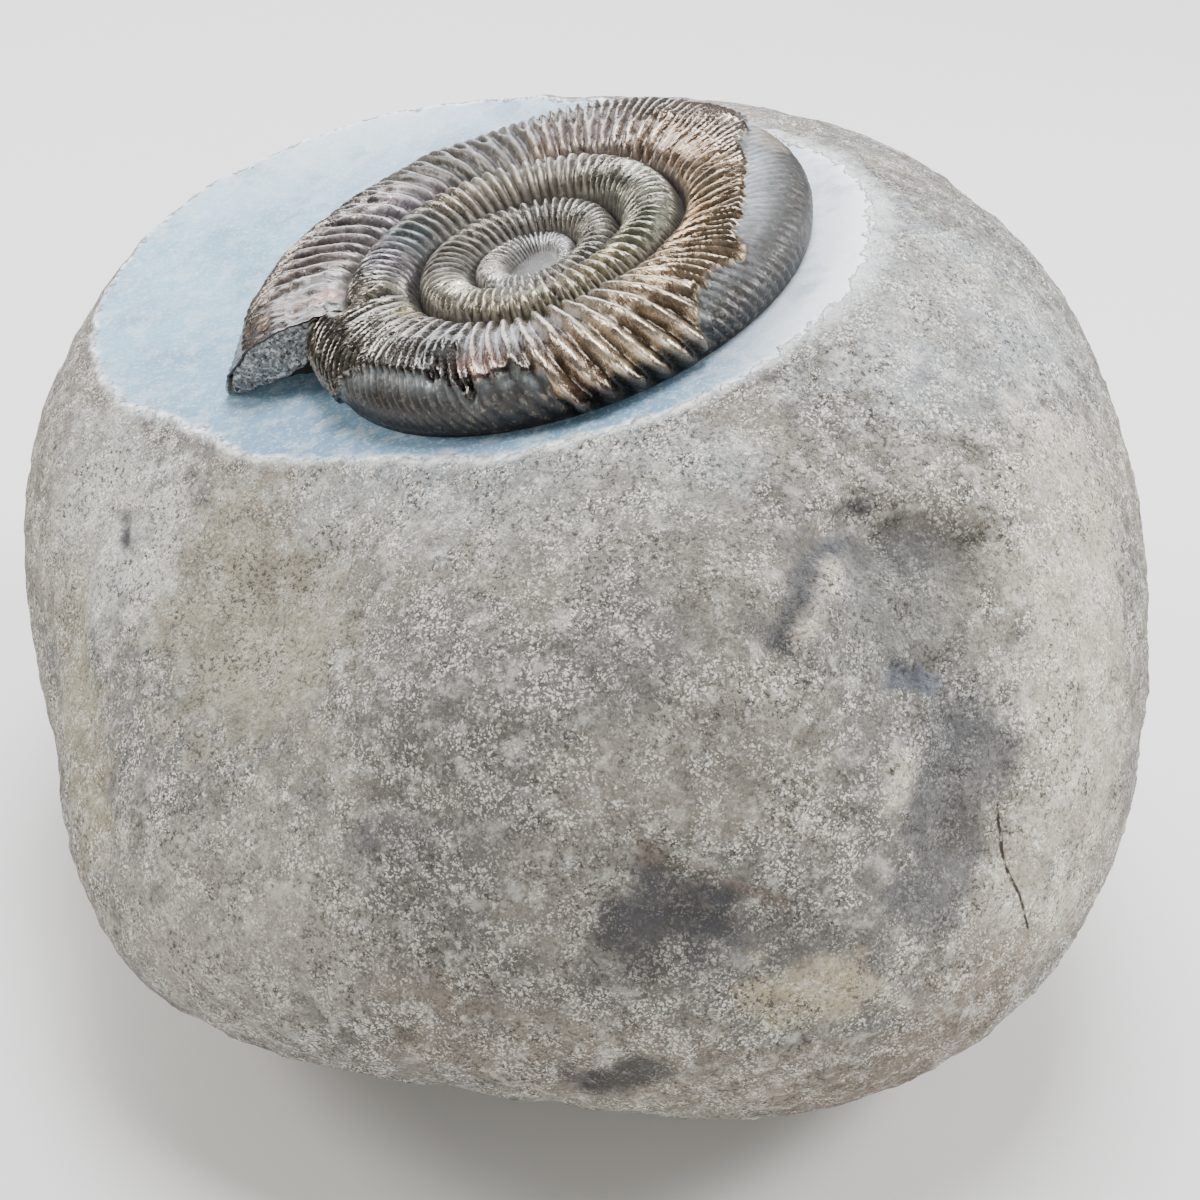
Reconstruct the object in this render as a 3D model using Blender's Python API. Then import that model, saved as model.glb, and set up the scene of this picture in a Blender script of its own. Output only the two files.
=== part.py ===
# A dactylioceras ammonite on the rounded limestone nodule that it was found in.
# Units are metres and +Z is up. The origin is the middle of the flat spot that the
# nodule rests on. The side with the shell faces up, tipped a little to the left.

import math

import bmesh
import bpy
from mathutils import Euler, Vector

TURN = 2 * math.pi
WELD = 0.000002  # corners closer than this are one
SHARP_ANGLE = math.radians(40)
BED_GAP = 0.0003  # between the shell and its bed in the stone
SHARPEST_MITRE = 0.3  # keeps the bed's outline from running far out at a tight corner

# Nodule: its reach from its middle each way, before the lumps and hollows
NODULE_MIDDLE = Vector((0.0, 0.0, 0.037))
REACH_LEFT = 0.0542
REACH_RIGHT = 0.0450
REACH_FRONT = 0.0510
REACH_BACK = 0.0555
REACH_UP = 0.0380
REACH_DOWN = 0.0360
SQUARENESS = 2.6  # 2 is an ellipsoid, and more is boxier
FACE_STEPS = 18  # squares along each side of the cube that the nodule is blown up from

# Lumps and hollows of the nodule: degrees round from +X, degrees above level,
# half-width in degrees, and height in metres, below zero for a hollow
RELIEF = {
    "slope down to the left": (-145, 40, 22, -0.0076),
    "left rim": (170, 35, 16, -0.0078),
    "left front rim": (-165, 32, 14, -0.0034),
    "front rim": (-125, 38, 14, -0.0024),
    "worn front edge": (-95, 38, 22, -0.0080),
    "worn far edge": (100, 42, 26, -0.0052),
    "worn right top": (50, 50, 20, -0.0022),
    "top by the mouth": (-170, 60, 22, 0.0012),
    "top over the shell": (-90, 80, 25, 0.0030),
    "right shoulder": (2, 42, 16, 0.0016),
    "right cheek": (-8, 8, 24, 0.0024),
    "right front": (-30, -15, 26, 0.0040),
    "lower right front": (-62, -42, 24, 0.0046),
    "front belly": (-88, -12, 34, 0.0038),
    "left front brow": (-130, 15, 16, -0.0116),
    "left brow": (-160, 15, 14, -0.0064),
    "left shoulder": (-176, 8, 16, 0.0016),
    "left flank hollow": (-160, -10, 14, -0.0048),
    "lower left corner": (-140, -38, 24, 0.0036),
    "lower left underside": (-110, -55, 20, -0.0042),
    "underside": (0, -90, 30, -0.0030),
    "resting spot": (90, -86, 14, 0.0020),
    "back swell": (90, 0, 45, 0.0110),
    "shallow front hollow": (-129, 16, 9, -0.0012),
    "left groove": (-143, -3, 6, -0.0010),
    "right basin": (-60, 17, 7, -0.0026),
    "arc above the basin": (-57, 26, 5, -0.0014),
    "ridge beside the basin": (-69, 21, 5, 0.0012),
    "lower right hollow": (-60, 2, 7, -0.0010),
}

# Shell: its middle, and how it lies in the nodule
SHELL_MIDDLE = Vector((-0.0035, -0.0033, 0.0675))
SHELL_TURN = Euler((math.radians(2.4), math.radians(-18.8), math.radians(11.3)))

# Prepared face: a shallow dish, part of a large ball, about the shell
DISH_RADIUS = 0.300
DISH_LOWEST = Vector((-0.004, 0.004, -0.0035))  # in the shell's own frame
DISH_REACH = 0.080
DISH_HEADROOM = 0.060
DISH_RINGS = 8
DISH_SPOKES = 48

# Coil: every angle is counted back from the mouth, which is at the shell's -X side
SEAM_AT_MOUTH = 0.01765  # radius of the seam inside the last whorl
GROWTH = 0.0586  # share by which the radius shrinks with each radian
GROWTH_CHANGE = 0.0023
SEAM_RISE = 0.1565  # height of a seam over its radius
MOUTH_SEAM_LIFT = 0.0005  # the last whorl's inner lip rides up on the whorl before it
MOUTH_LIFT_FADE = 0.3
LAST_WHORL_WIDTH = 0.245  # from its crest out to its edge, over the crest's radius
OVALNESS = 0.032
OVAL_AXIS = math.radians(20.7)
COIL_TURNS = 4

# Whorl section
CREST_HEIGHT = 0.0037
INNER_SWELL = 0.20  # rise of an inner whorl over its width
LAST_FULLNESS = 0.6  # the lower, the more boxy the whorl's rounding
INNER_FULLNESS = 0.7
FOOT_ANGLE = math.radians(-40)  # how far round the last whorl's flank shows
BED_DEPTH = 0.0050  # the shell's flat underside, below its middle plane
FLANK_ANGLES = [math.radians(degrees) for degrees in (90, 55, 20, -12)] + [FOOT_ANGLE]
ACROSS_STEPS = 3

# Ribs
RIBS_PER_TURN = 72
ROWS_PER_TURN = 2 * RIBS_PER_TURN  # one row on each rib and one between
START_TAPER_ROWS = ROWS_PER_TURN / 2  # rows over which the coil's start tapers out
BOSS_TURNS = 1.5  # the innermost turns, worn to a smooth boss
RIB_HEIGHT = 0.00026  # above and below the mean surface on the last whorl
INNER_RIB_WIDTH = 0.0060  # whorl width at which an inner rib is as high

# Mouth: the broken lip slants back and flares out at its foot
LIP_SLANT = 0.15
LIP_SLANT_ROWS = 8
LIP_FLARE = 0.0035
LIP_FLARE_FADE = 0.12
LIP_WALL = 0.0005
INFILL_RECESS = 0.0006


def seam_radius(back):
    """Radius of the inner seam of the whorl at an angle back from the mouth."""
    return SEAM_AT_MOUTH * math.exp(-GROWTH * back - GROWTH_CHANGE * back**2)


def seam_height(back, radius):
    return SEAM_RISE * radius + MOUTH_SEAM_LIFT * math.exp(-back / MOUTH_LIFT_FADE)


def coil_point(back, radius, height):
    """A point in the shell's frame, on the slightly oval coil."""
    angle = math.pi - back
    radius *= 1 - OVALNESS * math.cos(2 * (angle - OVAL_AXIS))
    return Vector((radius * math.cos(angle), radius * math.sin(angle), height))


def rib_wave(row):
    return RIB_HEIGHT if row % 2 == 0 else -RIB_HEIGHT


def inner_flank(row, across):
    """The part of a whorl between its inner seam and its outer seam, or crest."""
    back = row * TURN / ROWS_PER_TURN
    outer = seam_radius(back - TURN)
    start_taper = max(0, 1 - (COIL_TURNS * ROWS_PER_TURN - row) / START_TAPER_ROWS)
    inner = seam_radius(back) * (1 - start_taper) + outer * start_taper
    radius = inner + across * (outer - inner)
    low = seam_height(back, inner)
    if row < ROWS_PER_TURN:
        rise = math.sin(across * math.pi / 2) ** LAST_FULLNESS
        rib = rib_wave(row) if across > 0 else 0
        height = low + (CREST_HEIGHT - low) * rise + rib
    else:
        high = seam_height(back - TURN, outer)
        swell = math.sin(across * math.pi) ** INNER_FULLNESS if 0 < across < 1 else 0
        rib = rib_wave(row) * (outer - inner) / INNER_RIB_WIDTH
        height = low + across * (high - low)
        height += swell * (INNER_SWELL * (outer - inner) + rib)
    return coil_point(back, radius, height)


def outer_flank(row, down):
    """The last whorl's side, from its crest at 90 degrees down to its foot."""
    back = row * TURN / ROWS_PER_TURN
    crest = seam_radius(back - TURN)
    lowness = (1 - math.sin(down)) / (1 - math.sin(FOOT_ANGLE))
    flare = LIP_FLARE * lowness**2 * math.exp(-back / LIP_FLARE_FADE)
    rib = 0 if down == FOOT_ANGLE else rib_wave(row)
    radius = crest + (LAST_WHORL_WIDTH * crest + rib) * math.cos(down) + flare
    height = (CREST_HEIGHT + rib) * math.sin(down)
    back += LIP_SLANT * lowness * max(0, 1 - row / LIP_SLANT_ROWS)
    return coil_point(back, radius, height)


def bed_corner(row):
    """The lower edge of the shell, straight below its foot."""
    foot = outer_flank(row, FOOT_ANGLE)
    return Vector((foot.x, foot.y, -BED_DEPTH))


def add_strip(mesh, columns, rows, place):
    """Adds a grid whose corners are put by place(column, row)."""
    grid = bmesh.ops.create_grid(mesh, x_segments=columns, y_segments=rows, size=1)
    for corner in grid["verts"]:
        column = round((corner.co.x + 1) / 2 * columns)
        row = round((corner.co.y + 1) / 2 * rows)
        corner.co = place(column, row)


def nearest_corner(mesh, place):
    return min(mesh.verts, key=lambda corner: (corner.co - place).length_squared)


def open_edges(mesh):
    return [edge for edge in mesh.edges if edge.is_boundary]


def face_outwards(mesh):
    bmesh.ops.recalc_face_normals(mesh, faces=mesh.faces)
    if mesh.calc_volume(signed=True) < 0:
        bmesh.ops.reverse_faces(mesh, faces=mesh.faces)


def new_object(name, mesh, colour, roughness, metallic=0.0):
    """Finishes a mesh as a smooth-shaded object with a material of its own."""
    face_outwards(mesh)
    data = bpy.data.meshes.new(name)
    mesh.to_mesh(data)
    mesh.free()
    data.shade_smooth()
    data.set_sharp_from_angle(angle=SHARP_ANGLE)
    material = bpy.data.materials.new(name)
    material.use_nodes = True
    surface = material.node_tree.nodes["Principled BSDF"]
    surface.inputs["Base Color"].default_value = (*colour, 1)
    surface.inputs["Roughness"].default_value = roughness
    surface.inputs["Metallic"].default_value = metallic
    data.materials.append(material)
    thing = bpy.data.objects.new(name, data)
    bpy.context.collection.objects.link(thing)
    return thing


def make_cutter(name, mesh):
    face_outwards(mesh)
    data = bpy.data.meshes.new(name)
    mesh.to_mesh(data)
    mesh.free()
    cutter = bpy.data.objects.new(name, data)
    bpy.context.collection.objects.link(cutter)
    cutter.location = SHELL_MIDDLE
    cutter.rotation_euler = SHELL_TURN
    cutter.hide_render = True
    cutter.display_type = "WIRE"
    return cutter


def ammonite_shell():
    mesh = bmesh.new()
    rows = round(COIL_TURNS * ROWS_PER_TURN)
    last_flank = len(FLANK_ANGLES) - 1

    def place_inner(column, row):
        return inner_flank(row, column / ACROSS_STEPS)

    def place_outer(column, row):
        if column > last_flank:
            return bed_corner(row)
        return outer_flank(row, FLANK_ANGLES[column])

    add_strip(mesh, ACROSS_STEPS, rows, place_inner)
    add_strip(mesh, last_flank + 1, ROWS_PER_TURN, place_outer)
    bmesh.ops.remove_doubles(mesh, verts=mesh.verts, dist=WELD)

    boss_reach = seam_radius((COIL_TURNS - BOSS_TURNS) * TURN)
    boss_edges = [e for e in open_edges(mesh) if e.verts[0].co.xy.length < boss_reach]
    boss = bmesh.ops.contextual_create(mesh, geom=boss_edges)["faces"]
    bmesh.ops.poke(mesh, faces=boss)

    # An edge across the foot of the mouth parts the mouth from the underside
    lip_foot = nearest_corner(mesh, bed_corner(0))
    coil_foot = nearest_corner(mesh, bed_corner(ROWS_PER_TURN))
    bmesh.ops.contextual_create(mesh, geom=[lip_foot, coil_foot])
    under = [
        edge
        for edge in mesh.edges
        if not edge.is_manifold and all(v.co.z < WELD - BED_DEPTH for v in edge.verts)
    ]
    bmesh.ops.contextual_create(mesh, geom=under)
    bmesh.ops.contextual_create(mesh, geom=open_edges(mesh))
    face_outwards(mesh)

    # The matrix that fills the mouth stands a little back from the broken lip
    mouth = max(mesh.faces, key=lambda face: len(face.verts) * abs(face.normal.y))
    bmesh.ops.inset_region(
        mesh, faces=[mouth], thickness=LIP_WALL, depth=-INFILL_RECESS, use_even_offset=False
    )
    shell = new_object("ammonite_shell", mesh, (0.11, 0.09, 0.07), 0.35, metallic=0.3)
    shell.location = SHELL_MIDDLE
    shell.rotation_euler = SHELL_TURN
    return shell


def dish_cutter():
    """A shallow bowl, closed on top, that takes the nodule's natural top away."""
    mesh = bmesh.new()
    lean = math.asin(DISH_REACH / DISH_RADIUS)
    ball = DISH_LOWEST + Vector((0, 0, DISH_RADIUS))
    corners = []
    for ring in range(DISH_RINGS + 1):
        angle = lean * ring / DISH_RINGS
        arm = Vector((math.sin(angle), 0, -math.cos(angle))) * DISH_RADIUS
        corners.append(mesh.verts.new(ball + arm))
    wall = corners[-1].co + Vector((0, 0, DISH_HEADROOM))
    corners.append(mesh.verts.new(wall))
    corners.append(mesh.verts.new(Vector((ball.x, ball.y, wall.z))))
    profile = [mesh.edges.new(pair) for pair in zip(corners, corners[1:])]
    bmesh.ops.spin(
        mesh, geom=profile, cent=ball, axis=(0, 0, 1), angle=TURN, steps=DISH_SPOKES,
        use_merge=True,
    )
    bmesh.ops.remove_doubles(mesh, verts=mesh.verts, dist=WELD)
    return make_cutter("dish_cutter", mesh)


def bed_outline():
    """The shell's lower edge, moved out all round by the gap."""
    corners = [bed_corner(row).xy for row in range(ROWS_PER_TURN + 1)]
    outline = []
    for here, corner in enumerate(corners):
        before = (corner - corners[here - 1]).normalized()
        after = (corners[(here + 1) % len(corners)] - corner).normalized()
        side = Vector((before.y + after.y, -before.x - after.x)).normalized()
        reach = BED_GAP / max(SHARPEST_MITRE, side.dot(Vector((before.y, -before.x))))
        outline.append(corner - side * reach)
    return outline


def bed_cutter():
    """The hollow that the underside of the shell sits in."""
    mesh = bmesh.new()
    floor = -BED_DEPTH - BED_GAP
    ring = [mesh.verts.new((spot.x, spot.y, floor)) for spot in bed_outline()]
    face = mesh.faces.new(ring)
    raised = bmesh.ops.extrude_face_region(mesh, geom=[face])["geom"]
    tops = [item for item in raised if isinstance(item, bmesh.types.BMVert)]
    bmesh.ops.translate(mesh, verts=tops, vec=(0, 0, BED_DEPTH + CREST_HEIGHT))
    return make_cutter("bed_cutter", mesh)


def nodule_reach(way):
    """Distance from the nodule's middle to its natural surface in a direction."""
    reaches = (
        REACH_LEFT if way.x < 0 else REACH_RIGHT,
        REACH_FRONT if way.y < 0 else REACH_BACK,
        REACH_DOWN if way.z < 0 else REACH_UP,
    )
    total = sum(abs(part / reach) ** SQUARENESS for part, reach in zip(way, reaches))
    distance = total ** (-1 / SQUARENESS)
    for round_from_x, above, half_width, height in RELIEF.values():
        level = math.cos(math.radians(above))
        round_angle = math.radians(round_from_x)
        peak = Vector((
            level * math.cos(round_angle),
            level * math.sin(round_angle),
            math.sin(math.radians(above)),
        ))
        tightness = 0.5 / (1 - math.cos(math.radians(half_width)))
        distance += height * math.exp(tightness * (way.dot(peak) - 1))
    return distance


def limestone_nodule():
    mesh = bmesh.new()
    bmesh.ops.create_cube(mesh, size=2)
    bmesh.ops.subdivide_edges(mesh, edges=mesh.edges, cuts=FACE_STEPS - 1, use_grid_fill=True)
    for corner in mesh.verts:
        # The tangent spreads the squares evenly over the ball
        way = Vector([math.tan(part * math.pi / 4) for part in corner.co]).normalized()
        corner.co = NODULE_MIDDLE + way * nodule_reach(way)
    everything = mesh.verts[:] + mesh.edges[:] + mesh.faces[:]
    bmesh.ops.bisect_plane(
        mesh, geom=everything, plane_co=(0, 0, 0), plane_no=(0, 0, -1), clear_outer=True
    )
    bmesh.ops.holes_fill(mesh, edges=open_edges(mesh))
    nodule = new_object("limestone_nodule", mesh, (0.40, 0.39, 0.36), 0.9)
    for cutter in (dish_cutter(), bed_cutter()):
        cut = nodule.modifiers.new(cutter.name, "BOOLEAN")
        cut.operation = "DIFFERENCE"
        cut.object = cutter
    return nodule


for thing in list(bpy.data.objects):
    bpy.data.objects.remove(thing, do_unlink=True)
limestone_nodule()
ammonite_shell()
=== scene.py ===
# An ammonite lying in the prepared face of its limestone nodule, on a plain pale floor.
# Metres, +Z up. The nodule rests on the floor at the origin.

import math
from functools import partial

import bmesh
import bpy
from mathutils import Euler, Matrix, Vector, noise


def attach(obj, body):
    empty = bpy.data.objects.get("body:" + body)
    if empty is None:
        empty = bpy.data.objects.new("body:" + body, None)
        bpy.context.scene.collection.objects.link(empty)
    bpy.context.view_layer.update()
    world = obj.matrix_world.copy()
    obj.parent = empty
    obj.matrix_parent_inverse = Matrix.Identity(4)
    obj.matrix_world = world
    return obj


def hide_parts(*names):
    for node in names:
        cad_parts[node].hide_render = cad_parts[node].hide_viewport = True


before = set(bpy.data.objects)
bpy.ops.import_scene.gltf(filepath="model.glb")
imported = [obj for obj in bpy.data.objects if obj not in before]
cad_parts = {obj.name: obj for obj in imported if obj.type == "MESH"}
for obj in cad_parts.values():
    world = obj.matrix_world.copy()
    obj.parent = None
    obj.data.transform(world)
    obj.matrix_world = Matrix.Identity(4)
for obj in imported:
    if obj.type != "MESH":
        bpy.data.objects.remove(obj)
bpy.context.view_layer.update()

turn = 2 * math.pi
mm = 0.001
tiny = 0.002 * mm  # closer than this is the same place


def clamp(value, low=0.0, high=1.0):
    return max(low, min(high, value))


def ease(start, end, value):
    # 0 at the start and before it, 1 at the end and beyond it, without corners
    share = clamp((value - start) / (end - start))
    return share * share * (3 - 2 * share)


def mix(first, second, share):
    return first + (second - first) * share


def along(stops, place):
    # value at a place along a list of (place, value) stops, eased between them
    if place <= stops[0][0]:
        return stops[0][1]
    for (here, low), (there, high) in zip(stops, stops[1:]):
        if place <= there:
            return mix(low, high, ease(here, there, place))
    return stops[-1][1]


def hexColour(text):
    # sRGB hex to linear
    parts = [int(text[i:i + 2], 16) / 255 for i in (1, 3, 5)]
    return Vector([p / 12.92 if p <= 0.04045 else ((p + 0.055) / 1.055) ** 2.4 for p in parts])


def bell(distance, width):
    return math.exp(-((distance / width) ** 2))


def wave(place, size, seed=0.0):
    # smooth noise from -1 to 1 with lumps of about this size
    return noise.noise(Vector(place) / size + Vector((seed, seed * 1.7, -seed)))


def drift(*numbers):
    # the same along numbers that aren't a place
    return noise.noise(Vector(numbers))


def setInputs(node, inputs):
    # by the inputs' names, or in order where they are a list; colours may be hex
    for key, value in inputs.items() if isinstance(inputs, dict) else enumerate(inputs):
        if isinstance(value, bpy.types.NodeSocket):
            node.id_data.links.new(value, node.inputs[key])
        else:
            colour = isinstance(value, str)
            node.inputs[key].default_value = (*hexColour(value), 1.0) if colour else value


def addNode(tree, kind, inputs=(), output=0, **settings):
    # adds a node with its settings, values and links, and gives back one of its outputs
    made = tree.nodes.new("ShaderNode" + kind)
    for name, value in settings.items():
        setattr(made, name, value)
    setInputs(made, inputs)
    return made.outputs[output]


def startMaterial(name, **carried):
    # a material, what adds its nodes, its shader, and the values that its mesh carries
    material = bpy.data.materials.new(name)
    material.use_nodes = True
    add = partial(addNode, material.node_tree)
    values = [add("Attribute", output=output, attribute_name=key)
              for key, output in carried.items()]
    return material, add, material.node_tree.nodes["Principled BSDF"], *values


soft = {"interpolation_type": "SMOOTHSTEP"}


def mottle(add, place, patches):
    # noise by name: size in mm, detail and roughness, and for soft-edged patches the noise
    # where one begins and is full, and the values there
    made = {}
    for name, (size, detail, rough, *levels) in patches.items():
        made[name] = add("TexNoise", {"Vector": place, "Scale": 1 / (size * mm), "Detail": detail,
                                      "Roughness": rough})
        if levels:
            made[name] = add("MapRange", [made[name], *levels], **soft)
    return made


def paint(add, colour, colours, shares, layers):
    # lays colours over one another by name, each as strongly as the product of its shares
    for name, first, *others in layers:
        share = shares[first]
        for other in others:
            share = add("Math", [share, shares[other]], operation="MULTIPLY")
        colour = add("Mix", {0: share, 6: colour, 7: colours[name]}, 2, data_type="RGBA")
    return colour


def raised(add, values, heights):
    # the sum of the named values, each times its height in mm
    total = 0.0
    for name, height in heights.items():
        total = add("Math", [values[name], height * mm, total], operation="MULTIPLY_ADD")
    return total


def addObject(name, mesh, material):
    data = bpy.data.meshes.new(name)
    mesh.to_mesh(data)
    mesh.free()
    data.materials.append(material)
    made = bpy.data.objects.new(name, data)
    bpy.context.collection.objects.link(made)
    return made


def addPiece(name, mesh, material, sharpDegrees):
    piece = addObject(name, mesh, material)
    piece.data.shade_smooth()
    piece.data.set_sharp_from_angle(angle=math.radians(sharpDegrees))
    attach(piece, "root")
    return piece


def writeValues(piece, name, values, kind="FLOAT"):
    layer = piece.data.attributes.new(name, kind, "POINT")
    if kind == "FLOAT":
        layer.data.foreach_set("value", values)
    else:
        layer.data.foreach_set("color", [part for value in values for part in (*value, 1.0)])


nodule = {
    "middle": Vector((0.0, 0.0, 0.037)),
    "reachLeft": 0.0542, "reachRight": 0.0450,
    "reachFront": 0.0510, "reachBack": 0.0555,
    "reachUp": 0.0380, "reachDown": 0.0360,
    "squareness": 2.6,
    "gridSteps": 126,  # squares along each side of the cube it is blown up from
    "finerTowards": Vector((0.0, -0.80, 0.60)),  # the grid is finer on this side
    "finerBy": 0.26,
    "rimNear": 0.01,  # rays further off the dish than this don't make its rim
    "sharpDegrees": 50,
}

# degrees round from +X, degrees above level, half-width in degrees, height in mm
noduleRelief = [
    (-145, 40, 22, -7.6), (170, 35, 16, -7.8), (-165, 32, 14, -3.4), (-125, 38, 14, -2.4),
    (-95, 38, 22, -8), (100, 42, 26, -5.2), (50, 50, 20, -2.2), (-170, 60, 22, 1.2),
    (-90, 80, 25, 3), (2, 42, 16, 1.6), (-8, 8, 24, 2.4), (-30, -15, 26, 4), (-62, -42, 24, 4.6),
    (-88, -12, 34, 3.8), (-130, 15, 16, -11.6), (-160, 15, 14, -6.4), (-176, 8, 16, 1.6),
    (-160, -10, 14, -4.8), (-140, -38, 24, 3.6), (-110, -55, 20, -4.2), (0, -90, 30, -3),
    (90, -86, 14, 2), (90, 0, 45, 11), (-129, 16, 9, -1.2), (-143, -3, 6, -1), (-60, 17, 7, -2.6),
    (-57, 26, 5, -1.4), (-69, 21, 5, 1.2), (-60, 2, 7, -1),
]


def towards(roundFromX, above):
    level = math.cos(math.radians(above))
    angle = math.radians(roundFromX)
    return Vector((level * math.cos(angle), level * math.sin(angle), math.sin(math.radians(above))))


reliefPeaks = [
    (towards(a, b), 0.5 / (1 - math.cos(math.radians(width))), height * mm)
    for a, b, width, height in noduleRelief
]

shellPlace = {
    "middle": Vector((-0.0035, -0.0033, 0.0675)),
    "turned": Euler((math.radians(2.4), math.radians(-18.8), math.radians(11.3))).to_matrix(),
    "dishRadius": 0.300,
    "dishLowest": Vector((-0.004, 0.004, -0.0035)),
}
shellInverse = shellPlace["turned"].transposed()
dishBall = shellPlace["middle"] + shellPlace["turned"] @ (
    shellPlace["dishLowest"] + Vector((0, 0, shellPlace["dishRadius"]))
)


def toShell(place):
    return shellInverse @ (place - shellPlace["middle"])


def naturalReach(way):
    n = nodule
    reaches = (
        n["reachLeft"] if way.x < 0 else n["reachRight"],
        n["reachFront"] if way.y < 0 else n["reachBack"],
        n["reachDown"] if way.z < 0 else n["reachUp"],
    )
    total = sum(abs(part / reach) ** n["squareness"] for part, reach in zip(way, reaches))
    distance = total ** (-1 / n["squareness"])
    for peak, tightness, height in reliefPeaks:
        fall = tightness * (way.dot(peak) - 1)
        if fall > -12:  # a bulge is nothing beyond that
            distance += height * math.exp(fall)
    return distance


missed = 1.0  # metres, for a ray that doesn't meet the dish


def dishReach(way):
    # distance from the nodule's middle to the dish
    offset = nodule["middle"] - dishBall
    half = way.dot(offset)
    inside = half * half - offset.length_squared + shellPlace["dishRadius"] ** 2
    if inside <= 0 or half >= 0:
        return missed
    return -half - math.sqrt(inside)


camera = bpy.data.objects.new("camera", bpy.data.cameras.new("camera"))
camera.data.lens = 64.2
camera.data.sensor_width = 36
camera.data.clip_start = 0.01
camera.location = (0.002, -0.18254, 0.137)
camera.rotation_euler = (math.radians(60), 0, 0)  # looks 30 degrees down
bpy.context.collection.objects.link(camera)
bpy.context.scene.camera = camera
print("camera placed")


crust = {
    "lumps": (14 * mm, 0.35 * mm),  # size and height of the broad unevenness
    "bumps": (4.5 * mm, 0.33 * mm),
    "scales": (1.9 * mm, 0.24 * mm, 0.6, 2),  # and their level and sharpness
    "pits": (2.4 * mm, 0.26 * mm, 0.4),  # and their half-width as a share of the size
    "pitted": (9 * mm, 0.4),  # size of the areas with pits, and the noise that fills one
    "stainEdge": (1.35, 0.55),  # half-widths where a stain begins and is full
    "stainFray": [(3.6, 0.45), (1.5, 0.55)],  # size in mm and strength
    "rimBlend": (0.10 * mm, 1.8 * mm),  # how rounded the dish's rim is, left and right
    "tone": "#716e69",
    "flecks": 0.8,  # share of the crust that pale flecks cover
    # the prepared face's blue-grey, darker in front of the shell as painted shade and paler behind
    # and right of it as painted light
    "faceFrontShaded": "#4f728e", "faceBackLit": "#8fb3c9", "faceRightLit": "#f4f7f8",
    "powder": (0.5, 0.9), "powderReach": (0.8, 4.5),  # share and mm, left and right
}

# Marks on the crust, in mm: the line they follow, half-width, height (below zero for a dent)
crustMarks = {
    "basin brow": ([(21.5, -40.5, 58.6), (23, -38.8, 59.6), (25, -37.6, 59.9), (27.8, -37.3, 59.3),
        (30.4, -37.8, 57.7)], 2.2, -1.0),
    "lip over the brow": ([(22.6, -37.2, 61.6), (25.6, -35.6, 62), (29, -35.4, 61),
        (32.2, -36, 58.8)], 2, 0.65),
    "groove by the ridge": ([(21.8, -37.7, 61.3), (19.4, -40.2, 60.1), (17.4, -42.7, 58.4),
        (16.1, -45, 56.7), (15.4, -46.8, 54.4)], 1.5, -1.2),
    "pale ridge": ([(21, -39.9, 59.4), (19.3, -42.5, 57.9), (17.8, -44.5, 56.4),
        (17.2, -46.2, 54.8)], 1.2, 0.8),
    "crescent": ([(24.4, -44.6, 51.2), (26, -44.4, 50.2), (27.6, -43.6, 50.4),
        (28.8, -42.6, 51.3)], 0.8, -0.65),
    "lump over the crescent": ([(26.4, -43.2, 52.6)], 1.6, 0.45),
    "pale lump": ([(24.8, -48, 45.3), (24.4, -49, 43.2)], 2, 0.55),
    "right hollow": ([(29.6, -45.6, 45.5), (28.1, -48, 41.6), (29.9, -48.5, 37.2)], 3.4, -0.7),
    "front hollow": ([(5, -54.1, 36.7), (9.6, -54.6, 35.2)], 3.2, -0.7),
    "oval": ([(1.5, -52.9, 17.4), (6, -54.2, 19.8)], 1.9, -0.35),
    "left groove": ([(-46.2, -15.9, 36.6), (-43.5, -23.3, 34.8), (-41.6, -30.3, 31.1),
        (-40.1, -35.6, 27.6)], 2.4, -0.8),
    "broad hollow": ([(-30.5, -24.5, 47.6), (-26.5, -31, 45.2)], 5.5, -0.9),
    "brown line": ([(5, -53, 40.6), (11, -53.8, 38.4), (16.4, -53.8, 36)], 0.9, -0.35),
    "dark inclusion": ([(-41.1, -12.4, 47.6), (-40.5, -15.1, 46)], 0.8, -0.5),
    "chip on the rim": ([(-39.5, 32.5, 59.8)], 0.8, -0.6),
    "front swell": ([(-6, -46, 49), (4, -46.5, 50)], 6, 0.6),
    "shoulder over the groove": ([(10.5, -41, 59.5), (13, -44, 57.5)], 2.6, 0.45),
    "scar by the rim": ([(-28, -17.5, 53), (-24, -20.5, 54.5)], 1.6, -0.3),
    "notch far right": ([(36.7, 9.9, 69.2)], 1.4, -0.6),
    "notch right": ([(45.5, -12.1, 60.2)], 1.4, -0.5),
    "cracked foot": ([(33.4, -46.3, 38.8), (34.4, -46.9, 34), (36.4, -46.2, 28.5)], 0.9, -0.25),
}

# small round pits: place and half-width in mm
crustPits = [
    (-40.1, -20.6, 42.5, 0.45), (-30.7, -26.4, 46.1, 0.4), (-17.5, -34.7, 50, 0.55),
    (-13.9, -34.2, 53.7, 0.4), (-7.9, -45.4, 49.1, 0.35), (-36.9, 27.1, 59.2, 0.4),
    (-32.1, -30, 42.3, 0.3), (12, -50, 47, 0.35), (-2, -49, 42, 0.35),
]
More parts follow.
